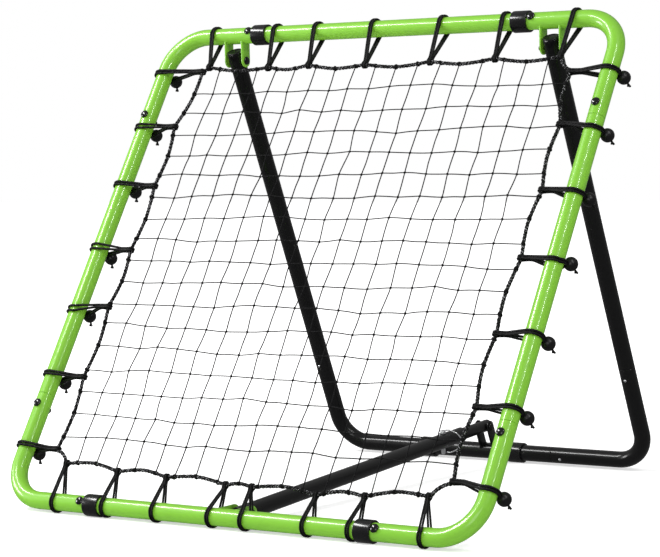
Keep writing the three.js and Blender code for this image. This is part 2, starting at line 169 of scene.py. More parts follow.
def braidGroup():
    # Braided or twisted cord: the UV runs once round and in metres along
    tree, source, sink = newGroup("braidSkin", [
        ("UV", "NodeSocketVector", None), ("Vector", "NodeSocketVector", None),
        ("Tone", "NodeSocketColor", (0.02, 0.02, 0.02, 1)), ("Fleck", "NodeSocketColor", (0.2, 0.2, 0.2, 1)),
        ("Starts", "NodeSocketFloat", 3.0), ("Pitch", "NodeSocketFloat", 0.01),
        ("Flecks", "NodeSocketFloat", 0.3), ("Cross", "NodeSocketFloat", 1.0)],
        [("Color", "NodeSocketColor"), ("Normal", "NodeSocketVector")])
    parts = add(tree, "SeparateXYZ")
    tree.links.new(source.outputs["UV"], parts.inputs[0])
    turns = math2(tree, "MULTIPLY", parts.outputs[0], source.outputs["Starts"])
    along = math2(tree, "DIVIDE", parts.outputs[1], source.outputs["Pitch"])
    waves = []
    for sign in ("ADD", "SUBTRACT"):
        angle = math2(tree, "MULTIPLY", math2(tree, sign, turns, along), 2 * math.pi)
        waves.append(math2(tree, "SINE", angle))
    second = math2(tree, "MULTIPLY", waves[1], source.outputs["Cross"])
    height = math2(tree, "MAXIMUM", waves[0], second)
    noise = add(tree, "TexNoise", Scale=900.0, Detail=2.0)
    patch = add(tree, "TexNoise", Scale=260.0, Detail=2.0)
    tree.links.new(source.outputs["Vector"], noise.inputs["Vector"])
    tree.links.new(source.outputs["Vector"], patch.inputs["Vector"])
    crest = math2(tree, "GREATER_THAN", waves[0], 0.35)
    spotted = math2(tree, "GREATER_THAN", patch.outputs["Fac"], 0.56)
    mask = math2(tree, "MULTIPLY", math2(tree, "MULTIPLY", crest, spotted), source.outputs["Flecks"])
    colour = mixColour(tree, mask, source.outputs["Tone"], source.outputs["Fleck"])
    fuzzy = math2(tree, "ADD", height, math2(tree, "MULTIPLY", noise.outputs["Fac"], 0.6))
    bump = add(tree, "Bump", Distance=0.0005, Strength=0.7)
    tree.links.new(fuzzy, bump.inputs["Height"])
    tree.links.new(colour, sink.inputs["Color"])
    tree.links.new(bump.outputs["Normal"], sink.inputs["Normal"])
    return tree


coatedSkin = coatedGroup()
braidSkin = braidGroup()


def colour4(red, green, blue):
    return (red, green, blue, 1)


def newMaterial(name, group, values, shader):
    material = bpy.data.materials.new(name)
    material.use_nodes = True
    tree = material.node_tree
    surface = tree.nodes["Principled BSDF"]
    skin = tree.nodes.new("ShaderNodeGroup")
    skin.node_tree = group
    coordinates = tree.nodes.new("ShaderNodeTexCoord")
    tree.links.new(coordinates.outputs["Object"], skin.inputs["Vector"])
    if "UV" in skin.inputs:
        tree.links.new(coordinates.outputs["UV"], skin.inputs["UV"])
    for key, value in values.items():
        skin.inputs[key].default_value = value
    for output, target in (("Color", "Base Color"), ("Roughness", "Roughness"), ("Normal", "Normal")):
        if output in skin.outputs:
            tree.links.new(skin.outputs[output], surface.inputs[target])
    for key, value in shader.items():
        surface.inputs[key].default_value = value
    return material


def coated(name, tone, shade, roughness, peel, depth, shader):
    values = {"Tone": tone, "Shade": shade, "Roughness": roughness, "Peel": peel, "Depth": depth}
    return newMaterial(name, coatedSkin, values, shader)


limeCoat = coated("lime powder coat", colour4(0.25, 0.62, 0.04), colour4(0.225, 0.58, 0.032),
                  roughness=0.4, peel=420.0, depth=0.04,
                  shader={"Coat Weight": 0.55, "Coat Roughness": 0.06, "Specular IOR Level": 0.45})
blackCoat = coated("black powder coat", colour4(0.0025, 0.0025, 0.0027), colour4(0.004, 0.004, 0.0044),
                   roughness=0.3, peel=420.0, depth=0.08,
                   shader={"Coat Weight": 0.3, "Coat Roughness": 0.06, "Specular IOR Level": 0.3})
blackPlastic = coated("moulded black plastic", colour4(0.004, 0.004, 0.0044), colour4(0.007, 0.007, 0.0075),
                      roughness=0.36, peel=900.0, depth=0.25, shader={"Specular IOR Level": 0.35})
ringPlastic = coated("smooth black ring", colour4(0.003, 0.003, 0.0033), colour4(0.005, 0.005, 0.0055),
                     roughness=0.22, peel=500.0, depth=0.06, shader={"Specular IOR Level": 0.6})
glossPlastic = coated("glossy black cap", colour4(0.003, 0.003, 0.0033), colour4(0.005, 0.005, 0.0055),
                      roughness=0.14, peel=300.0, depth=0.04, shader={"Specular IOR Level": 0.6})
zincSteel = coated("bright zinc", colour4(0.85, 0.86, 0.88), colour4(0.72, 0.73, 0.75),
                   roughness=0.3, peel=700.0, depth=0.1, shader={"Metallic": 0.9})
elasticCord = newMaterial("elastic cord sleeve", braidSkin, {
    "Tone": colour4(0.003, 0.003, 0.0033), "Fleck": colour4(0.014, 0.014, 0.015),
    "Starts": 4.0, "Pitch": 0.006, "Flecks": 0.5}, {"Roughness": 0.6, "Specular IOR Level": 0.25})
ropeFibre = newMaterial("border rope", braidSkin, {
    "Tone": colour4(0.003, 0.003, 0.0033), "Fleck": colour4(0.42, 0.42, 0.44),
    "Starts": 3.0, "Pitch": 0.007, "Flecks": 0.8, "Cross": 0.0}, {
    "Roughness": 0.75, "Specular IOR Level": 0.25})
netTwine = newMaterial("net twine", braidSkin, {
    "Tone": colour4(0.004, 0.004, 0.0044), "Fleck": colour4(0.03, 0.03, 0.032),
    "Starts": 1.0, "Pitch": 0.004, "Flecks": 0.6, "Cross": 0.0}, {
    "Roughness": 0.8, "Specular IOR Level": 0.2})
print("materials made")


smoothBelow = math.radians(38)  # faces that meet at less than this are shaded as one surface


def finishPiece(bm, name, material, body, nodes=(), smooth=smoothBelow):
    mesh = bpy.data.meshes.new(name)
    bm.to_mesh(mesh)
    bm.free()
    mesh.materials.append(material)
    mesh.shade_smooth()
    mesh.set_sharp_from_angle(angle=smooth)
    piece = bpy.data.objects.new(name, mesh)
    bpy.context.scene.collection.objects.link(piece)
    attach(piece, body)
    if nodes:
        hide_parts(*nodes)


toX = Matrix.Rotation(math.radians(90), 4, "Y")
toY = Matrix.Rotation(math.radians(-90), 4, "X")


def moved(x=0.0, y=0.0, z=0.0):
    return Matrix.Translation((x, y, z))


def turned(profile, matrix, closed=False, steps=32):
    # Spins (radius, height) points about Z, then places the solid
    bm = bmesh.new()
    points = [bm.verts.new((radius, 0, height)) for radius, height in profile]
    edges = [bm.edges.new(pair) for pair in zip(points, points[1:])]
    if closed:
        edges.append(bm.edges.new((points[-1], points[0])))
    bmesh.ops.spin(bm, geom=points + edges, cent=(0, 0, 0), axis=(0, 0, 1), angle=2 * math.pi, steps=steps,
                   use_merge=True)
    bmesh.ops.remove_doubles(bm, verts=bm.verts[:], dist=1e-6)
    bmesh.ops.recalc_face_normals(bm, faces=bm.faces[:])
    bmesh.ops.transform(bm, matrix=matrix, verts=bm.verts[:])
    return bm


def merge(target, bm):
    mesh = bpy.data.meshes.new("part")
    bm.to_mesh(mesh)
    bm.free()
    target.from_mesh(mesh)
    bpy.data.meshes.remove(mesh)


def hollowTube(start, end, matrix, neckEnd=True):
    # A straight tube with a narrower neck at each end that goes into the next tube
    radius, neck, lip, seam, reach = (tube[key] for key in ("radius", "neck", "lip", "seam", "neckLength"))
    bore = neck - tube["wall"]
    low = start - reach
    high = end + reach
    profile = [(bore, low), (neck, low), (neck, start + seam), (radius - lip, start + seam),
               (radius, start + seam + lip), (radius, end - seam - lip), (radius - lip, end - seam),
               (neck, end - seam), (neck, high), (bore, high)]
    if not neckEnd:
        profile[-3:] = [(bore, end - seam)]
    return turned(profile, matrix, closed=True, steps=tube["sides"])


def bentTube(bend, matrix):
    # Two arms and a quarter bend from +X round to +Y, corner at the origin
    bm = bmesh.new()
    arm, lip = tube["arm"], tube["lip"]
    facing = moved(x=arm) @ Matrix.Rotation(math.radians(-90), 4, "Y")
    bmesh.ops.create_circle(bm, segments=tube["sides"], radius=tube["radius"] - lip, matrix=facing)
    edges = bm.edges[:]

    def carry(offset, grow=1.0, middle=None):
        nonlocal edges
        result = bmesh.ops.extrude_edge_only(bm, edges=edges)["geom"]
        verts = [item for item in result if isinstance(item, bmesh.types.BMVert)]
        edges = [item for item in result if isinstance(item, bmesh.types.BMEdge)]
        bmesh.ops.translate(bm, verts=verts, vec=offset)
        if middle:
            space = Matrix.Translation(-Vector(middle))
            bmesh.ops.scale(bm, verts=verts, vec=(grow, grow, grow), space=space)

    full = tube["radius"] / (tube["radius"] - lip)
    carry((-lip, 0, 0), full, (arm - lip, 0, 0))
    carry((bend - arm + lip, 0, 0))
    result = bmesh.ops.spin(bm, geom=edges, cent=(bend, bend, 0), axis=(0, 0, 1), angle=math.radians(-90),
                            steps=tube["bendSteps"])
    edges = [item for item in result["geom_last"] if isinstance(item, bmesh.types.BMEdge)]
    carry((0, arm - bend - lip, 0))
    carry((0, lip, 0), 1 / full, (0, arm, 0))
    bmesh.ops.remove_doubles(bm, verts=bm.verts[:], dist=1e-6)
    bmesh.ops.recalc_face_normals(bm, faces=bm.faces[:])
    bmesh.ops.solidify(bm, geom=bm.faces[:], thickness=tube["wall"])
    bmesh.ops.transform(bm, matrix=matrix, verts=bm.verts[:])
    return bm


def bodyOf(bm, name):
    mesh = bpy.data.meshes.new(name)
    bm.to_mesh(mesh)
    bm.free()
    body = bpy.data.objects.new(name, mesh)
    bpy.context.scene.collection.objects.link(body)
    return body


def drilled(bm, tools):
    # The piece with each tool's solid cut out of it
    bodies = [bodyOf(solid, "cutting") for solid in [bm] + tools]
    for tool in bodies[1:]:
        cut = bodies[0].modifiers.new("hole", "BOOLEAN")
        cut.operation = "DIFFERENCE"
        cut.solver = "EXACT"
        cut.object = tool
    found = bodies[0].evaluated_get(bpy.context.evaluated_depsgraph_get())
    mesh = bpy.data.meshes.new_from_object(found)
    result = bmesh.new()
    result.from_mesh(mesh)
    bpy.data.meshes.remove(mesh)
    for body in bodies:
        old = body.data
        bpy.data.objects.remove(body)
        bpy.data.meshes.remove(old)
    return result


ear = {"thickness": 4 * mm, "edge": 0.8 * mm, "steps": 16, "standGap": 24 * mm, "standWidth": 15 * mm,
       "strutGap": 22.5 * mm, "strutWidth": 18 * mm, "rearGap": 16.5 * mm, "rearWidth": 14 * mm}
weld = {"beads": 13, "sizes": (1.2, 1.6), "inset": 1.5 * mm, "out": 0.2 * mm, "up": 0.3 * mm}


def earPlate(reach, radius, matrix, into):
    # A flat ear with a round end, from the origin along +Y, in the Y-Z plane
    bm = bmesh.new()
    points = [bm.verts.new((0, 0, -radius)), bm.verts.new((0, 0, radius))]
    steps, thickness = ear["steps"], ear["thickness"]
    for i in range(steps + 1):
        angle = math.pi / 2 - math.pi * i / steps
        points.append(bm.verts.new((0, reach + radius * math.cos(angle), radius * math.sin(angle))))
    face = bmesh.ops.contextual_create(bm, geom=points)["faces"]
    result = bmesh.ops.extrude_face_region(bm, geom=face)["geom"]
    verts = [item for item in result if isinstance(item, bmesh.types.BMVert)]
    bmesh.ops.translate(bm, verts=verts, vec=(thickness, 0, 0))
    bmesh.ops.translate(bm, verts=bm.verts[:], vec=(-thickness / 2, 0, 0))
    bmesh.ops.recalc_face_normals(bm, faces=bm.faces[:])
    rims = [edge for edge in bm.edges if abs(edge.verts[0].co.x - edge.verts[1].co.x) < 1e-6
            and (edge.verts[0].co.y > 1e-4 or edge.verts[1].co.y > 1e-4)]
    bmesh.ops.bevel(bm, geom=rims, offset=ear["edge"], offset_type="OFFSET", segments=2, profile=0.5,
                    affect="EDGES", material=-1)
    bmesh.ops.transform(bm, matrix=matrix, verts=bm.verts[:])
    merge(into, bm)
    weldBead(into, matrix, radius)


def weldBead(bm, matrix, width):
    # A row of small welds where a plate meets a tube
    draws = random.Random(5)
    for side in (-1, 1):
        for i in range(weld["beads"]):
            depth = (i / (weld["beads"] - 1) - 0.5) * 2 * (width - weld["inset"])
            height = math.sqrt(max(tube["radius"] ** 2 - depth ** 2, 0)) + weld["up"]
            size = draws.uniform(*weld["sizes"]) * mm
            spot = matrix @ moved(side * (ear["thickness"] / 2 + weld["out"]), height, depth)
            bmesh.ops.create_icosphere(bm, subdivisions=2, radius=size, matrix=spot)


def cordRun(points, radius, resolution, into, cyclic=False):
    # A round cord through the points; its UV runs once round and in metres along
    curve = bpy.data.curves.new("run", "CURVE")
    curve.dimensions = "3D"
    spline = curve.splines.new("POLY")
    spline.points.add(len(points) - 1)
    for place, point in zip(spline.points, points):
        place.co = (*point, 1)
    spline.use_cyclic_u = cyclic
    curve.bevel_depth = radius
    curve.bevel_resolution = resolution
    curve.use_fill_caps = not cyclic
    holder = bpy.data.objects.new("run", curve)
    mesh = bpy.data.meshes.new_from_object(holder)
    length = sum((b - a).length for a, b in zip(points, points[1:]))
    for entry in mesh.uv_layers[0].data:
        entry.uv = (entry.uv[1], entry.uv[0] * length)
    bpy.data.objects.remove(holder)
    bpy.data.curves.remove(curve)
    into.from_mesh(mesh)
    bpy.data.meshes.remove(mesh)


def smoothRun(points, parts, closed=False):
    # Catmull-Rom through the points, with so many parts in each gap
    count = len(points)
    run = []
    for i in range(count if closed else count - 1):
        if closed:
            a, b, c, d = (points[(i + k) % count] for k in (-1, 0, 1, 2))
        else:
            a, b, c, d = (points[min(max(i + k, 0), count - 1)] for k in (-1, 0, 1, 2))
        for step in range(parts):
            t = step / parts
            run.append(0.5 * ((2 * b) + (c - a) * t + (2 * a - 5 * b + 4 * c - d) * t * t
                              + (3 * b - a - 3 * c + d) * t ** 3))
    if not closed:
        run.append(points[-1].copy())
    return run


boltShape = {"head": 9.5 * mm, "rise": 5.5 * mm, "rim": 1.2 * mm, "gap": 0.2 * mm, "shank": 4 * mm,
             "nut": 7 * mm, "nutDepth": 6 * mm, "nutDome": 5.5 * mm, "nutRise": 3 * mm}


def boltBm(grip, matrix):
    # Domed cap on the plus side, nut with its own cap on the minus side
    head, rise, rim, nut, nutRise = (boltShape[key] for key in ("head", "rise", "rim", "nut", "nutRise"))
    face = grip / 2 + boltShape["gap"]
    nutEnd = -face - boltShape["nutDepth"]
    profile = [(0, nutEnd - nutRise)]
    for i in range(1, 7):
        angle = math.radians(90 * i / 6)
        profile.append((boltShape["nutDome"] * math.sin(angle), nutEnd - nutRise * math.cos(angle)))
    profile += [(nut, nutEnd + 0.6 * mm), (nut, -face - 0.6 * mm), (nut - 0.5 * mm, -face),
                (boltShape["shank"], -face), (boltShape["shank"], face), (head - 0.3 * mm, face),
                (head, face + 0.4 * mm), (head, face + rim)]
    for i in range(1, 11):
        angle = math.radians(90 * i / 10)
        profile.append((head * math.cos(angle), face + rim + (rise - rim) * math.sin(angle)))
    return turned(profile, matrix, steps=32)


def makeFrame():
    quarter = math.radians(90)
    drop = (topRail - onAxis(standPivot)).length
    corners = [("bottom_left", -half, 0, 0), ("bottom_right", half, 0, 1), ("top_right", half, span, 2),
               ("top_left", -half, span, 3)]
    for word, x, y, turns in corners:
        name = "corner_tube_" + word
        place = netPlace @ moved(x, y) @ Matrix.Rotation(turns * quarter, 4, "Z")
        bm = bentTube(tube["frameBend"], place)
        if word.startswith("top"):
            side = 1 if x > 0 else -1
            for offset in (-ear["standGap"], ear["standGap"]):
                hang = moved(side * tube["legX"] + offset, topRail.y, topRail.z)
                earPlate(drop, ear["standWidth"], hang @ Matrix.Rotation(-quarter, 4, "X"), bm)
        finishPiece(bm, "green_" + name, limeCoat, "net_frame", [name])
    arm = tube["arm"]
    for name, x in (("side_tube_left", -half), ("side_tube_right", half)):
        finishPiece(hollowTube(arm, span - arm, netPlace @ moved(x) @ toY), "green_" + name, limeCoat,
                    "net_frame", [name])
    reach = half - arm
    finishPiece(hollowTube(-reach, reach, netPlace @ moved(y=span) @ toX), "green_top_rail_tube", limeCoat,
                "net_frame", ["top_rail_tube"])
    bm = hollowTube(-reach, reach, netPlace @ toX)
    for offset in (-ear["strutGap"], ear["strutGap"]):
        back = Matrix.Translation(bottomRail + across * offset)
        earPlate(strutFront.y - bottomRail.y, ear["strutWidth"], back, bm)
    finishPiece(bm, "green_bottom_rail_tube", limeCoat, "net_frame", ["bottom_rail_tube"])
    for i in range(1, 9):
        name = "frame_bolt_%d" % i
        middle = netPlace.inverted() @ middleOf(name)
        place = netPlace @ moved(middle.x, middle.y)
        finishPiece(boltBm(2 * tube["radius"], place), "cap_" + name, glossPlastic,
                    "net_frame", [name])
    print("green frame made")


ringShape = {"radius": 23.9 * mm, "bore": 19.35 * mm, "width": 39.5 * mm, "round": 1.8 * mm}


def ringBm(matrix):
    outer, bore, length, edge = (ringShape[key] for key in ("radius", "bore", "width", "round"))
    profile = [(bore, -length / 2), (outer - edge, -length / 2)]
    for i in range(1, 6):
        angle = math.radians(90 * i / 5)
        profile.append((outer - edge + edge * math.sin(angle), -length / 2 + edge - edge * math.cos(angle)))
    profile += [(radius, -height) for radius, height in reversed(profile)]
    return turned(profile, matrix, closed=True, steps=64)


def makeRings():
    owners = {"bottom_ring": "net_frame", "top_ring": "net_frame", "rear_ring": "rear_stand"}
    for kind, body in owners.items():
        for word in ("_left", "_right"):
            name = kind + word
            place = moved(*middleOf(name)) @ toX
            finishPiece(ringBm(place), "rail_" + name, ringPlastic, body, [name])
    print("rings made")


# For each ball cord, in mm: where it goes round its tube, the rope that it pulls at, across and up,
# and how far along the tube its ball is moved
cords = {
    "left": [(123, -511, 123, 0), (299, -512, 301, 0), (462, -514, 478, 8), (623, -510, 625, -2),
             (791, -509, 794, 7), (946, -513, 954, 7), (1096, -489, 1105, 7)],
    "top": [(-483, -474, 1116, 0), (-305, -300, 1109, 0), (-189, -186, 1111, 0), (-32, -29, 1106, 0),
            (150, 144, 1107, 0), (312, 310, 1108, 0), (486, 473, 1106, 0)],
    "right": [(1065, 508, 1068, 4), (921, 519, 937, 7), (768, 522, 779, 6), (609, 520, 619, 15),
              (443, 514, 445, 0), (279, 517, 282, -1), (104, 515, 119, 0)],
    "bottom": [(487, 470, 85, 0), (318, 322, 74, 0), (208, 205, 68, 0), (52, 41, 73, 0), (-33, -27, 73, 0),
               (-181, -186, 79, 0), (-318, -322, 83, 0), (-458, -471, 92, 0)],
}
rope = {"radius": 4.4 * mm, "strand": 2.4 * mm, "twist": 26 * mm, "dip": 9 * mm, "dipShare": 0.07,
        "parts": 10, "step": 3 * mm}


def ropePath():
    stops = [Vector((u * mm, v * mm, 0)) for entries in cords.values() for _, u, v, _ in entries]
    centre = Vector((0, span / 2, 0))
    points = []
    for i, stop in enumerate(stops):
        following = stops[(i + 1) % len(stops)]
        chord = following - stop
        inward = Vector((chord.y, -chord.x, 0)).normalized()
        if inward.dot(centre - stop) < 0:
            inward.negate()
        dip = min(rope["dip"], rope["dipShare"] * chord.length)
        points.append(stop)
        for share, depth in ((0.25, 0.62), (0.5, 1.0), (0.75, 0.62)):
            points.append(stop + chord * share + inward * dip * depth)
    return smoothRun(points, rope["parts"], closed=True)


ropeLine = ropePath()


def evenly(points, step):
    # The same closed run with points a step apart
    loop = points + [points[0]]
    total = sum((b - a).length for a, b in zip(loop, loop[1:]))
    count = int(total / step)
    result, i, passed = [], 0, 0.0
    for k in range(count):
        target = total * k / count
        while passed + (loop[i + 1] - loop[i]).length < target:
            passed += (loop[i + 1] - loop[i]).length
            i += 1
        result.append(loop[i].lerp(loop[i + 1], (target - passed) / (loop[i + 1] - loop[i]).length))
    return result, total


def makeRope():
    bm = bmesh.new()
    even, total = evenly(ropeLine, rope["step"])
    turns = round(total / rope["twist"])
    out = (rope["radius"] - rope["strand"]) * 1.05
    for strand in range(3):
        points = []
        for i, point in enumerate(even):
            ahead = (even[(i + 1) % len(even)] - even[i - 1]).normalized()
            side = ahead.cross(Vector((0, 0, 1)))
            angle = 2 * math.pi * (turns * i / len(even) + strand / 3)
            swing = side * out * math.cos(angle) + Vector((0, 0, out * math.sin(angle)))
            points.append(netPlace @ (point + swing))
        cordRun(points, rope["strand"], 1, bm, cyclic=True)
    finishPiece(bm, "border_rope", ropeFibre, "net_frame", smooth=math.pi)
    print("rope:", round(total, 3), "m")


net = {"columns": 17, "rows": 17, "pitchAcross": 55.5 * mm, "pitchUp": 55.5 * mm, "firstUp": 154 * mm,
       "shift": 3 * mm, "twine": 1.35 * mm, "knot": 3 * mm, "wander": 2.2 * mm, "depth": 4 * mm,
       "wave": 2.2 * mm, "ripple": 1.4 * mm, "room": 14 * mm, "sag": 0.8 * mm}


def ropeAt(side, place):
    # Where the rope is, opposite a net line that ends on that side
    axis = 1 if side in ("left", "right") else 0
    edges = {"left": lambda p: p.x < -0.45, "right": lambda p: p.x > 0.45,
             "top": lambda p: p.y > span * 0.8, "bottom": lambda p: p.y < span * 0.2}
    near = [point for point in ropeLine if edges[side](point)]
    return min(near, key=lambda point: abs(point[axis] - place))


def makeNet():
    draws = random.Random(11)
    columns, rows = net["columns"], net["rows"]

    def knotPoint(column, row):
        u = (column - (columns - 1) / 2) * net["pitchAcross"] + net["shift"]
        v = net["firstUp"] + row * net["pitchUp"]
        wave = net["wave"] * math.sin(1.7 * row + 0.6 * column)
        wave += net["ripple"] * math.sin(0.9 * column + 0.04 * row * row)
        u += draws.uniform(-1, 1) * net["wander"]
        v += wave + draws.uniform(-1, 1) * net["wander"]
        return Vector((u, v, net["depth"] * draws.uniform(-1, 1)))

    knots = {(c, r): knotPoint(c, r) for c in range(columns) for r in range(rows)}
    inside = {}
    for key, point in knots.items():
        left, right = ropeAt("left", point.y), ropeAt("right", point.y)
        low, high = ropeAt("bottom", point.x), ropeAt("top", point.x)
        room = net["room"]
        if left.x + room < point.x < right.x - room and low.y + room < point.y < high.y - room:
            inside[key] = point
    twine = bmesh.new()
    ends = []

    def line(points):
        run = []
        for a, b in zip(points, points[1:]):
            sag = Vector((draws.uniform(-1, 1), draws.uniform(-1, 1), draws.uniform(-1, 1))) * net["sag"]
            run += [a, a.lerp(b, 0.5) + sag]
        run.append(points[-1])
        cordRun([netPlace @ point for point in smoothRun(run, 3)], net["twine"], 1, twine)

    for c in range(columns):
        run = [inside[(c, r)] for r in range(rows) if (c, r) in inside]
        if len(run) > 3:
            first, last = ropeAt("bottom", run[0].x), ropeAt("top", run[-1].x)
            ends += [first, last]
            line([first] + run + [last])
    for r in range(rows):
        run = [inside[(c, r)] for c in range(columns) if (c, r) in inside]
        if len(run) > 3:
            first, last = ropeAt("left", run[0].y), ropeAt("right", run[-1].y)
            ends += [first, last]
            line([first] + run + [last])
    finishPiece(twine, "net_twine", netTwine, "net_frame", ["net_panel"], smooth=math.pi)
    lumps = bmesh.new()
    for point in inside.values():
        turn = Matrix.Rotation(draws.uniform(0, 3), 4, "Z") @ Matrix.Diagonal((1.15, 0.9, 0.8, 1))
        bmesh.ops.create_icosphere(lumps, subdivisions=2, radius=net["knot"],
                                   matrix=netPlace @ moved(*point) @ turn)
    for point in ends:
        turn = Matrix.Rotation(draws.uniform(0, 3), 4, "Z") @ Matrix.Diagonal((1.4, 1.0, 1.5, 1))
        bmesh.ops.create_icosphere(lumps, subdivisions=2, radius=1.5 * net["knot"],
                                   matrix=netPlace @ moved(*point) @ turn)
    finishPiece(lumps, "net_knots", netTwine, "net_frame", smooth=math.pi)
    print("net:", len(inside), "knots")


ballCord = {"radius": 2.8 * mm, "lowRadius": 2.35 * mm, "gap": 0.2 * mm, "spread": 2.9 * mm,
            "ball": 15 * mm, "ballGap": 2.4 * mm, "gatherSide": 26 * mm, "gatherRail": 12 * mm,
            "tail": 11 * mm, "tailSwing": 3 * mm, "leave": 24, "arc": 14, "bite": 4 * mm, "past": 1 * mm}
ballAngle = {"left": -101, "right": -60}
ballSteps = 28


def strandPath(side, place, lift, stop, offset, angle0, gather, widen, radius):
    # One strand: from the ball over the front of the tube, round the rope and back behind the tube
    wrap = tube["radius"] + ballCord["gap"] + radius
    outward = {"left": Vector((-1, 0, 0)), "right": Vector((1, 0, 0)), "top": Vector((0, 1, 0)),
               "bottom": Vector((0, -1, 0))}[side]
    along = Vector((0, 1, 0)) if side in ("left", "right") else Vector((1, 0, 0))
    front = Vector((0, 0, 1))
    axis = outward * half + Vector((0, half, 0))
    axis -= along * axis.dot(along)
    home = axis + along * place
    reach = (home - stop).dot(outward)
    tangent = math.pi - math.acos(wrap / reach)
    ballAway = tube["radius"] + ballCord["ball"] + ballCord["ballGap"]

    def around(angle, distance, shift):
        return home + (outward * math.cos(angle) + front * math.sin(angle)) * distance + along * shift

    start = angle0 + math.radians(ballCord["leave"])
    points = [around(angle0, ballAway, lift + offset * 0.3),
              around(angle0 + math.radians(10), wrap + 5 * mm, lift * 0.7 + offset * 0.8)]
    arc = ballCord["arc"]
    for i in range(arc + 1):
        angle = start + (tangent - start) * i / arc
        sunk = lift * 0.5 * max(0, 1 - 2 * i / arc)
        points.append(around(angle, wrap, sunk + offset * (1 + widen * i / arc)))
    tight = along * offset * 0.85
    loop = rope["radius"] + radius * 0.7
    rise = front * (radius * 1.1 + gather * 0.04)
    gathered = stop + outward * gather + tight
    above, over = stop + outward * ballCord["bite"] + tight, stop - outward * ballCord["past"] + tight
    turnPoints = [gathered + rise, above + front * (loop * 0.8), over + front * loop,
                  stop - outward * loop + tight * 1.1,
                  over - front * loop, above - front * (loop * 0.8), gathered - rise]
    straight = [points[-1].lerp(turnPoints[0], share) for share in (0.35, 0.7)]
    back = around(-tangent, wrap, offset * 1.3)
    straightBack = [turnPoints[-1].lerp(back, share) for share in (0.35, 0.7)]
    tailPoints = [back, around(angle0, ballAway, lift + offset * 0.3)]
    if angle0 > -tangent:
        between = (angle0 - tangent) / 2
        tailPoints[1:1] = [around(between, wrap, offset),
                           around(angle0, wrap + 6 * mm, lift * 0.7 + offset * 0.5)]
    run = smoothRun(points + straight + turnPoints + straightBack + tailPoints, 3)
    return run, points[0] - along * offset * 0.3


def ballBm(centre, away):
    # A moulded ball with a seam round it
    radius = ballCord["ball"]
    profile = []
    for i in range(ballSteps + 1):
        angle = math.pi * i / ballSteps - math.pi / 2
        ridge = 0.25 * mm if i == ballSteps // 2 else 0.0
        profile.append((max(0.0, (radius + ridge) * math.cos(angle)), (radius + ridge) * math.sin(angle)))
    turn = Vector((0, 0, 1)).rotation_difference(away).to_matrix().to_4x4()
    return turned(profile, moved(*centre) @ turn, steps=32)


def makeCords():
    lean = math.atan2(topRail.y - bottomRail.y, topRail.z - bottomRail.z)
    ballAngles = {"left": math.radians(ballAngle["left"]), "right": math.radians(ballAngle["right"]),
                  "top": lean - math.pi / 2, "bottom": math.radians(8) - lean - math.pi / 2}
    tails = {"left": (0.1, -0.8, -0.6), "right": (0.5, -0.6, -0.7)}
    draws = random.Random(3)
    lengths = []
    for side, entries in cords.items():
        gather = ballCord["gatherSide"] if side in ("left", "right") else ballCord["gatherRail"]
        for i, (place, u, v, lift) in enumerate(entries):
            bm = bmesh.new()
            radius = ballCord["lowRadius"] if side == "bottom" else ballCord["radius"]
            stop = Vector((u * mm, v * mm, 0))
            widen = draws.choice((0.2, 0.7, 1.2)) if side == "left" else 0.05
            total = 0.0
            for sign in (-1, 1):
                points, ball = strandPath(side, place * mm, lift * mm, stop, sign * ballCord["spread"],
                                          ballAngles[side], gather, widen, radius)
                cordRun([netPlace @ point for point in points], radius, 2, bm)
                total += sum((b - a).length for a, b in zip(points, points[1:]))
            lengths.append(total)
            away = Vector(tails.get(side, (draws.uniform(-0.5, 0.5), 0, -1))).normalized()
            knot = ball + away * (ballCord["ball"] + 0.5 * mm)
            for swing in (-1, 1):
                bend = Vector((swing * ballCord["tailSwing"], -2 * mm, 0))
                tip = knot + away * ballCord["tail"] * 0.5 + bend
                run = smoothRun([ball + away * 8 * mm, knot, tip], 4)
                cordRun([netPlace @ point for point in run], radius * 0.8, 2, bm)
            number = i + 1
            finishPiece(bm, "cord_%s_%d" % (side, number), elasticCord, "net_frame",
                        ["net_edge_" + side] if i == 0 else [], smooth=math.pi)
            bm = ballBm(netPlace @ ball, (netPlace.to_3x3() @ away).normalized())
            finishPiece(bm, "ball_%s_%d" % (side, number), blackPlastic, "net_frame")
    print("ball cords:", len(lengths), "of", round(min(lengths), 3), "to", round(max(lengths), 3), "m")


legCap = {"depth": 17 * mm, "flange": 1.8 * mm, "dish": 2.7 * mm}
snapButton = {"radius": 3.5 * mm, "reach": 3 * mm, "length": 22 * mm, "dome": 2.5 * mm}


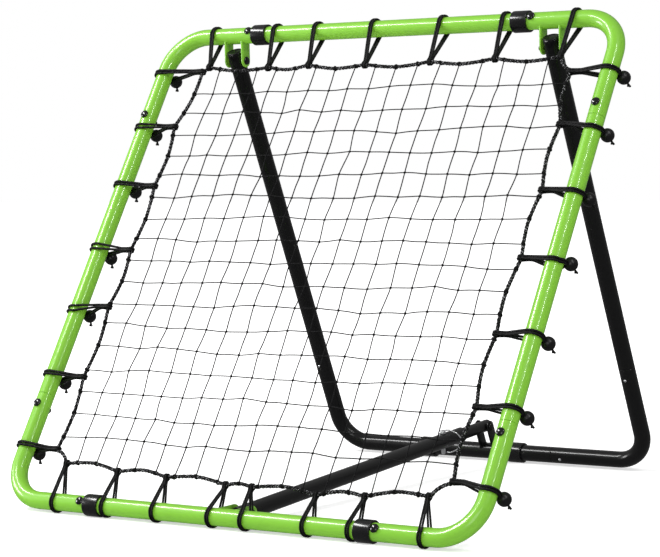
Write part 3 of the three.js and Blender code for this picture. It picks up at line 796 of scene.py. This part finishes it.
def makeStand():
    quarter = math.radians(90)
    legX, arm = tube["legX"], tube["arm"]
    for name, side in (("stand_corner_left", -1), ("stand_corner_right", 1)):
        place = standPlace @ moved(side * legX) @ Matrix.Rotation(quarter if side > 0 else 0, 4, "Z")
        finishPiece(bentTube(tube["standBend"], place), "black_" + name, blackCoat,
                    "rear_stand", [name])
    for name, side in (("leg_tube_left", -1), ("leg_tube_right", 1)):
        bm = hollowTube(arm, tube["legEnd"], standPlace @ moved(side * legX) @ toY, neckEnd=False)
        finishPiece(bm, "black_" + name, blackCoat, "rear_stand", [name])
    bm = hollowTube(arm - legX, legX - arm, standPlace @ toX)
    rise = (strutRear - rearRail).length
    for offset in (-ear["rearGap"], ear["rearGap"]):
        earPlate(rise, ear["rearWidth"], standPlace @ moved(offset), bm)
    finishPiece(bm, "black_rear_rail_tube", blackCoat, "rear_stand", ["rear_rail_tube"])
    outer, bore = tube["radius"], tube["neck"] - tube["wall"]
    deep, dish = legCap["depth"], legCap["dish"]
    profile = [(0, -deep), (bore - 1 * mm, -deep), (bore, 1 * mm - deep), (bore, 0.2 * mm),
               (outer - 0.3 * mm, 0.2 * mm), (outer, 0.6 * mm), (outer, legCap["flange"]),
               (outer - 0.4 * mm, 2.6 * mm), (outer - 1.3 * mm, 3.1 * mm), (outer - 3 * mm, 3.2 * mm),
               (outer - 3.6 * mm, dish), (0, dish)]
    for name, side in (("leg_cap_left", -1), ("leg_cap_right", 1)):
        place = standPlace @ moved(side * legX, tube["legEnd"]) @ toY
        finishPiece(turned(profile, place, steps=48), "plastic_" + name, blackPlastic,
                    "rear_stand", [name])
    radius, dome = snapButton["radius"], snapButton["dome"]
    top = outer + snapButton["reach"]
    foot = top - snapButton["length"]
    profile = [(0, foot), (radius, foot), (radius, top - dome)]
    for i in range(1, 9):
        angle = math.radians(90 * i / 8)
        profile.append((radius * math.cos(angle), top - dome + dome * math.sin(angle)))
    for name in ("leg_button_left", "leg_button_right", "rail_button_left", "rail_button_right"):
        spot = standPlace.inverted() @ middleOf(name)
        finishPiece(turned(profile, standPlace @ moved(spot.x, spot.y), steps=24), "steel_" + name, zincSteel,
                    name.replace("button", "snap"), [name])
    print("stand made")


pivotGrip = {"stand": 52 * mm, "front": 49 * mm, "rear": 37 * mm}


def makePivots():
    aside = across * tube["legX"]
    for name, grip, centre, body in (("stand_bolt_left", "stand", standPivot - aside, "net_frame"),
                                     ("stand_bolt_right", "stand", standPivot + aside, "net_frame"),
                                     ("strut_front_bolt", "front", strutFront, "net_frame"),
                                     ("strut_rear_bolt", "rear", strutRear, "rear_stand")):
        bm = boltBm(pivotGrip[grip], moved(*centre) @ toX)
        finishPiece(bm, "cap_" + name, glossPlastic, body, [name])
    print("pivot bolts made")


strut = {"outer": 17.5 * mm, "inner": 14 * mm, "end": 17 * mm, "mouth": 105 * mm, "overlap": 285 * mm,
         "slotHalf": 79 * mm, "holeFit": 0.35 * mm, "slotFit": 1.15 * mm}
lockPin = {"back": 82 * mm, "radius": 5 * mm, "tip": 31 * mm, "head": 8 * mm, "headHeight": 7 * mm,
           "turn": 45, "wire": 1.6 * mm, "reach": 45 * mm}


def plainTube(radius, start, end, matrix):
    lip, wall = 0.5 * mm, tube["wall"]
    profile = [(radius - wall, start), (radius - lip, start), (radius, start + lip), (radius, end - lip),
               (radius - lip, end), (radius - wall + 0.3 * mm, end), (radius - wall, end - 0.3 * mm)]
    return turned(profile, matrix, closed=True, steps=tube["sides"])


def makeStrutTubes():
    mouth = strutLength - strut["mouth"]
    innerEnd = strutLength + strut["end"] - 4 * mm
    hole = lockPin["radius"] + strut["holeFit"]
    wide = hole + strut["slotFit"]
    through = 2 * strut["outer"]
    slotHalf = strut["slotHalf"]

    def drill(along, radius):
        profile = [(0, -through), (radius, -through), (radius, through), (0, through)]
        return turned(profile, strutPlace @ moved(y=mouth - lockPin["back"] + along), steps=24)

    outerTube = drilled(plainTube(strut["outer"], -strut["end"], mouth, strutPlace @ toY),
                        [drill(0, hole)])
    finishPiece(outerTube, "black_strut_outer_tube", blackCoat, "strut_outer",
                ["strut_outer_tube"])
    slot = bmesh.new()
    slotMiddle = strutPlace @ moved(y=mouth - lockPin["back"])
    bmesh.ops.create_cube(slot, size=2,
                          matrix=slotMiddle @ Matrix.Diagonal((wide, slotHalf - wide, through, 1)))
    innerTube = drilled(plainTube(strut["inner"], mouth - strut["overlap"], innerEnd, strutPlace @ toY),
                        [slot, drill(wide - slotHalf, wide), drill(slotHalf - wide, wide)])
    finishPiece(innerTube, "black_strut_inner_tube", blackCoat, "strut_inner",
                ["strut_inner_tube"])
    for name, radius, place, body in (("strut_front_plug", strut["outer"], -strut["end"], "strut_outer"),
                                      ("strut_rear_plug", strut["inner"], innerEnd, "strut_inner")):
        bore = radius - tube["wall"] - 0.6 * mm
        profile = [(0, -8 * mm), (bore, -8 * mm), (bore, 0.2 * mm), (radius - 0.3 * mm, 0.2 * mm),
                   (radius, 0.6 * mm), (radius - 0.2 * mm, 1.6 * mm), (radius - 1.2 * mm, 2.4 * mm),
                   (0, 2.4 * mm)]
        flip = Matrix.Rotation(math.pi if place < 0 else 0, 4, "X")
        finishPiece(turned(profile, strutPlace @ moved(y=place) @ flip @ toY, steps=48), "plastic_" + name,
                    blackPlastic, body, [name])


def makeLockPin():
    along = strutLength - strut["mouth"] - lockPin["back"]
    place = strutPlace @ moved(y=along) @ Matrix.Rotation(math.radians(lockPin["turn"]), 4, "Z")
    radius, head, tip, reach = (lockPin[key] for key in ("radius", "head", "tip", "reach"))
    foot = strut["outer"] + 0.3 * mm
    top = foot + lockPin["headHeight"]
    profile = [(0, -tip), (radius - 2 * mm, -tip), (radius - 0.6 * mm, 1.6 * mm - tip),
               (radius, 3 * mm - tip), (radius, foot), (head - 0.5 * mm, foot), (head, foot + 0.5 * mm),
               (head, top - 1.2 * mm), (head - 0.5 * mm, top - 0.4 * mm), (head - 1.4 * mm, top), (0, top)]
    finishPiece(turned(profile, place, steps=40), "steel_lock_pin", zincSteel, "pin",
                ["lock_pin"])
    middle = foot + lockPin["headHeight"] / 2
    # the bail's wire goes through the head, out round the tube and back towards the tip
    points = [(0, -10 * mm, middle), (0, 0, middle), (0, 9 * mm, middle),
              (5 * mm, 12.5 * mm, middle + 1 * mm), (20 * mm, 9 * mm, middle + 1 * mm),
              (reach - 9 * mm, 3 * mm, middle - 8 * mm), (reach, 0, middle - 24 * mm),
              (reach - 6 * mm, 0, middle - 40 * mm), (20 * mm, 0, 3 * mm - tip),
              (radius + 3 * mm, 0, 4 * mm - tip)]
    bm = bmesh.new()
    run = smoothRun([Vector(point) for point in points], 8)
    cordRun([place @ point for point in run], lockPin["wire"], 3, bm)
    finishPiece(bm, "steel_wire_bail", zincSteel, "bail", ["wire_bail"], smooth=math.pi)


sky = {"level": 0.2, "overhead": 0.42, "mirrored": 0.8, "behind": 1.0}
view = {"place": (2.97893, -4.37032, 0.85103), "turn": 35.079, "down": 3.995, "roll": -1.559, "lens": 129.95}


lamps = {  # place in metres, size and power
    "key": ((-2.7, -1.9, 3.7), (2.4, 0.5), 120),
    "left": ((-4.4, -2.2, 1.3), (1.4, 1.4), 90),
    "front": ((2.0, -4.6, 1.8), (2.0, 2.0), 40),
    "strip": ((3.1, -1.35, 3.55), (0.14, 2.8), 60),
}


def makeCamera():
    turn, down, roll = (math.radians(view[key]) for key in ("turn", "down", "roll"))
    ahead = Vector((-math.sin(turn) * math.cos(down), math.cos(turn) * math.cos(down), -math.sin(down)))
    right = Vector((math.cos(turn), math.sin(turn), 0))
    up = right.cross(ahead)
    camera = bpy.data.cameras.new("camera")
    camera.lens = view["lens"]
    camera.sensor_width = 36
    camera.clip_end = 60
    holder = bpy.data.objects.new("camera", camera)
    bpy.context.scene.collection.objects.link(holder)
    levelled = right * math.cos(roll) + up * math.sin(roll)
    raised = up * math.cos(roll) - right * math.sin(roll)
    matrix = Matrix((levelled, raised, -ahead)).transposed().to_4x4()
    matrix.translation = view["place"]
    holder.matrix_world = matrix
    bpy.context.scene.camera = holder


def areaLight(name, place, target, size, power):
    light = bpy.data.lights.new(name, "AREA")
    light.shape = "RECTANGLE"
    light.size, light.size_y = size
    light.energy = power
    holder = bpy.data.objects.new(name, light)
    bpy.context.scene.collection.objects.link(holder)
    holder.location = place
    holder.rotation_euler = (Vector(target) - Vector(place)).to_track_quat("-Z", "Y").to_euler()


def makeSky():
    # White behind the object, brightest overhead for what it lights, and dim in reflections
    world = bpy.data.worlds.new("studio")
    world.use_nodes = True
    tree = world.node_tree
    surface = tree.nodes["Background"]
    coordinates = add(tree, "TexCoord")
    parts = add(tree, "SeparateXYZ")
    tree.links.new(coordinates.outputs["Generated"], parts.inputs[0])
    rising = math2(tree, "MAXIMUM", parts.outputs[2], 0.0)
    dome = math2(tree, "ADD", math2(tree, "MULTIPLY", rising, sky["overhead"] - sky["level"]), sky["level"])
    rays = add(tree, "LightPath")
    dimmed = math2(tree, "MULTIPLY", rays.outputs["Is Glossy Ray"], 1 - sky["mirrored"])
    lit = math2(tree, "MULTIPLY", dome, math2(tree, "SUBTRACT", 1.0, dimmed))
    seen = math2(tree, "MULTIPLY", rays.outputs["Is Camera Ray"], sky["behind"])
    tree.links.new(math2(tree, "MAXIMUM", lit, seen), surface.inputs["Strength"])
    surface.inputs["Color"].default_value = (1, 1, 1, 1)
    bpy.context.scene.world = world


def makeStudio():
    bm = bmesh.new()
    bmesh.ops.create_grid(bm, x_segments=1, y_segments=1, size=14)
    mesh = bpy.data.meshes.new("floor")
    bm.to_mesh(mesh)
    bm.free()
    floor = bpy.data.objects.new("floor", mesh)
    bpy.context.scene.collection.objects.link(floor)
    material = bpy.data.materials.new("pale floor")
    material.use_nodes = True
    tree = material.node_tree
    surface = tree.nodes["Principled BSDF"]
    surface.inputs["Base Color"].default_value = (0.9, 0.9, 0.9, 1)
    surface.inputs["Roughness"].default_value = 0.9
    surface.inputs["Specular IOR Level"].default_value = 0.0
    surface.inputs["Emission Color"].default_value = (1, 1, 1, 1)
    coordinates = add(tree, "TexCoord")
    distance = add(tree, "VectorMath", operation="LENGTH")
    tree.links.new(coordinates.outputs["Object"], distance.inputs[0])
    fade = add(tree, "MapRange", interpolation_type="SMOOTHSTEP", From_Min=0.4, From_Max=2.4, To_Min=0.5,
               To_Max=1.0)
    tree.links.new(distance.outputs["Value"], fade.inputs["Value"])
    seen = math2(tree, "MULTIPLY", fade.outputs["Result"], add(tree, "LightPath").outputs["Is Camera Ray"])
    tree.links.new(seen, surface.inputs["Emission Strength"])
    mesh.materials.append(material)
    floor.visible_glossy = False
    makeSky()
    for name, (place, size, power) in lamps.items():
        areaLight(name, place, (0, 0, 0.5), size, power)
    bpy.context.scene.view_settings.view_transform = "Standard"


makeCamera()
makeStudio()
makeFrame()
makeRings()
makeRope()
makeNet()
makeCords()
makeStand()
makePivots()
makeStrutTubes()
makeLockPin()
print("strut made")
